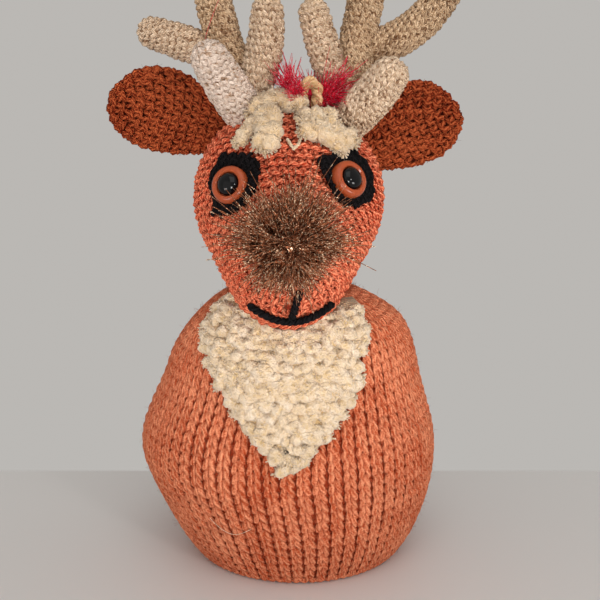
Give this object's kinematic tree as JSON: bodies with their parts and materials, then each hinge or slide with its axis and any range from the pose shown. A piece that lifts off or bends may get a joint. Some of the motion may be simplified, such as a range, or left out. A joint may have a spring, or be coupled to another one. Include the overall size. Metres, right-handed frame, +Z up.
{
  "type": "tea cosy",
  "caption": "Hollow knitted tea cosy with slits for a spout and a handle, topped by a stuffed crocheted deer's head with ears, antlers, toy eyes and a pompom nose.",
  "frame": {"origin": "middle of the box round the whole cosy, on the plane that its hem stands on", "axes": "+Z up, -Y the way the face looks, -X the spout's side, +X the handle's side"},
  "size_m": [0.1902, 0.1934, 0.3338],
  "materials": {
    "rust_wool": "matt double-knitting wool",
    "antler_wool": "matt marled wool",
    "cream_chenille": "soft chenille pile",
    "black_wool": "matt wool",
    "red_tinsel": "shiny tinsel yarn",
    "brown_tinsel": "shiny tinsel yarn",
    "brown_plastic": "glossy, clear-coated",
    "black_plastic": "glossy"
  },
  "bodies": {
    "root": {"body_front": "rust_wool", "body_back": "rust_wool", "head": "rust_wool", "bib": "cream_chenille", "ear_left": "rust_wool", "ear_right": "rust_wool", "antler_left_beam": "antler_wool", "antler_left_front": "antler_wool", "antler_left_inner": "antler_wool", "antler_left_outer": "antler_wool", "antler_right_beam": "antler_wool", "antler_right_front": "antler_wool", "antler_right_inner": "antler_wool", "antler_right_outer": "antler_wool", "eye_patch_left": "black_wool", "iris_left": "brown_plastic", "pupil_left": "black_plastic", "eye_patch_right": "black_wool", "iris_right": "brown_plastic", "pupil_right": "black_plastic", "mouth_smile": "black_wool", "mouth_line": "black_wool", "nose_pompom": "brown_tinsel", "forelock_left": "cream_chenille", "forelock_right": "cream_chenille", "forelock_loop": "cream_chenille", "tinsel_tuft": "red_tinsel"}
  },
  "joints": []
}
